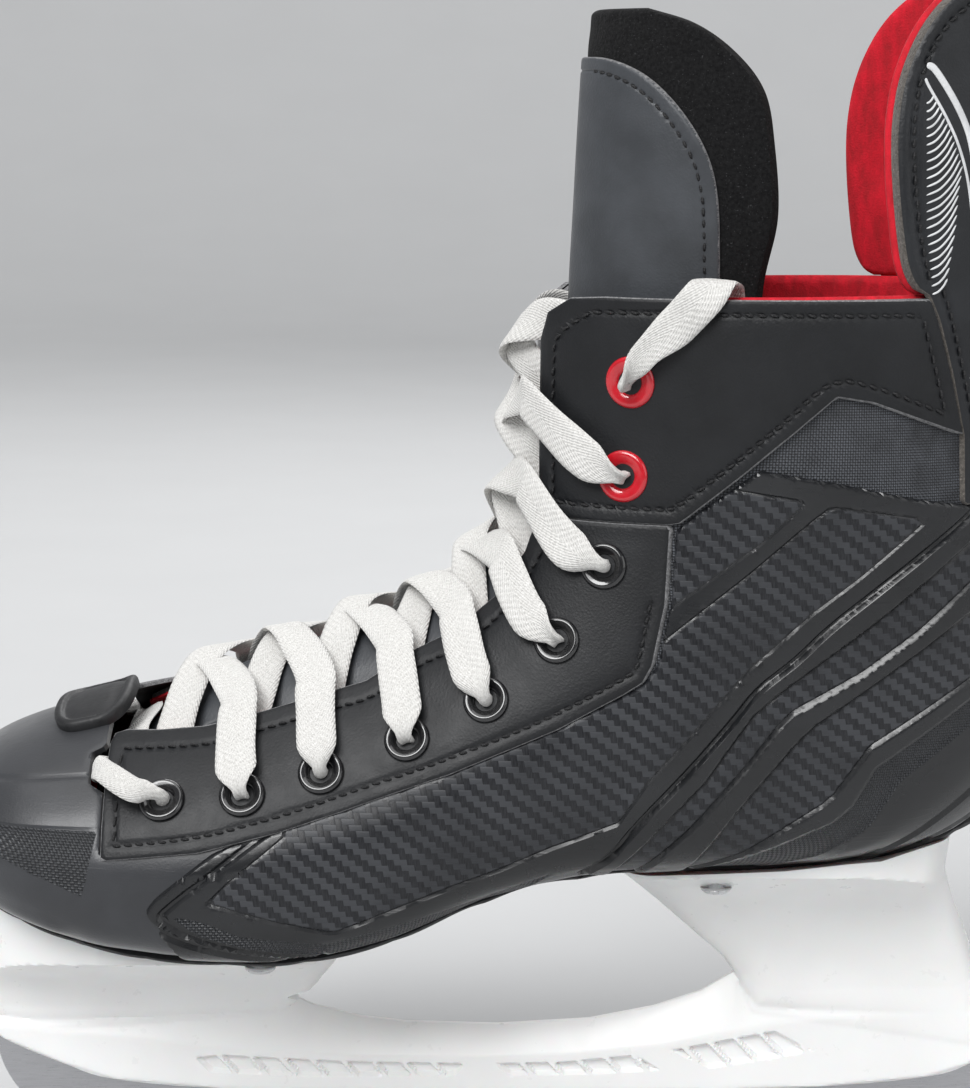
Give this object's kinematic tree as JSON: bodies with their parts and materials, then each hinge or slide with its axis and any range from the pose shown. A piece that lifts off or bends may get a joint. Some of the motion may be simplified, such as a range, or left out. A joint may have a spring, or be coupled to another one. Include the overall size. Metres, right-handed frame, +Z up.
{
  "type": "ice hockey skate",
  "caption": "Left ice hockey skate with laced boot, stiff tongue, tendon guard, plastic holder and steel runner.",
  "frame": {"origin": "middle of the flat stretch of the runner's bottom edge, where the skate stands on the ice", "axes": "+Z up the boot, -X towards the toe, -Y out of the lateral side"},
  "size_m": [0.2347, 0.0854, 0.2525],
  "materials": {
    "black_leather": "fine matte black synthetic leather",
    "black_textile": "black woven textile",
    "moulded_panel": "satin charcoal moulding",
    "toe_rubber": "black rubber",
    "black_felt": "dense black felt",
    "red_lining": "red brushed microfibre",
    "black_enamel": "glossy black enamel",
    "red_enamel": "glossy red enamel",
    "white_lace": "flat white braid",
    "aglet_plastic": "clear shrink sleeve",
    "white_holder": "white moulded nylon",
    "steel": "ground steel",
    "stiffener": "fibre board",
    "foam": "fabric-faced foam"
  },
  "bodies": {
    "skate": {"facing_lateral": "black_leather", "facing_medial": "black_leather", "ankle_panel_lateral": "black_leather", "ankle_panel_medial": "black_leather", "tendon_guard_base": "black_leather", "tongue_cover_lower": "black_leather", "quarter_lateral": "black_textile", "quarter_medial": "black_textile", "side_panel_lateral": "moulded_panel", "side_panel_medial": "moulded_panel", "toe_cap": "moulded_panel", "toe_badge": "toe_rubber", "outsole": "toe_rubber", "tongue_felt_lower": "black_felt", "liner": "red_lining", "eyelet_lateral_1": "black_enamel", "eyelet_lateral_2": "black_enamel", "eyelet_lateral_3": "black_enamel", "eyelet_lateral_4": "black_enamel", "eyelet_lateral_5": "black_enamel", "eyelet_lateral_6": "black_enamel", "eyelet_lateral_7": "black_enamel", "eyelet_medial_1": "black_enamel", "eyelet_medial_2": "black_enamel", "eyelet_medial_3": "black_enamel", "eyelet_medial_4": "black_enamel", "eyelet_medial_5": "black_enamel", "eyelet_medial_6": "black_enamel", "eyelet_medial_7": "black_enamel", "eyelet_lateral_8": "red_enamel", "eyelet_lateral_9": "red_enamel", "eyelet_medial_8": "red_enamel", "eyelet_medial_9": "red_enamel", "lace": "white_lace", "lace_tail_lateral": "white_lace", "lace_tail_medial": "white_lace", "aglet_lateral": "aglet_plastic", "aglet_medial": "aglet_plastic", "holder": "white_holder", "runner": "steel", "front_hook_bolt": "steel", "rear_hook_bolt": "steel", "front_bolt_nut": "steel", "rear_bolt_nut": "steel", "rivet_1": "steel", "rivet_2": "steel", "rivet_3": "steel", "rivet_4": "steel", "rivet_5": "steel", "rivet_6": "steel", "rivet_7": "steel", "rivet_8": "steel", "heel_counter": "stiffener", "insole_board": "stiffener", "footbed": "foam"},
    "tongue_top": {"tongue_felt_upper": "black_felt", "tongue_cover_upper": "black_leather"},
    "guard_top": {"tendon_guard": "black_leather", "guard_lining": "red_lining"}
  },
  "joints": [
    {"name": "tongue_fold", "type": "hinge", "parent": "skate", "child": "tongue_top", "pos_m": [0.0143, 0, 0.189], "axis": [0, -1, 0], "range_deg": [0, 60]},
    {"name": "guard_flex", "type": "hinge", "parent": "skate", "child": "guard_top", "pos_m": [0.1136, 0, 0.1866], "axis": [0, 1, 0], "range_deg": [0, 12]}
  ]
}
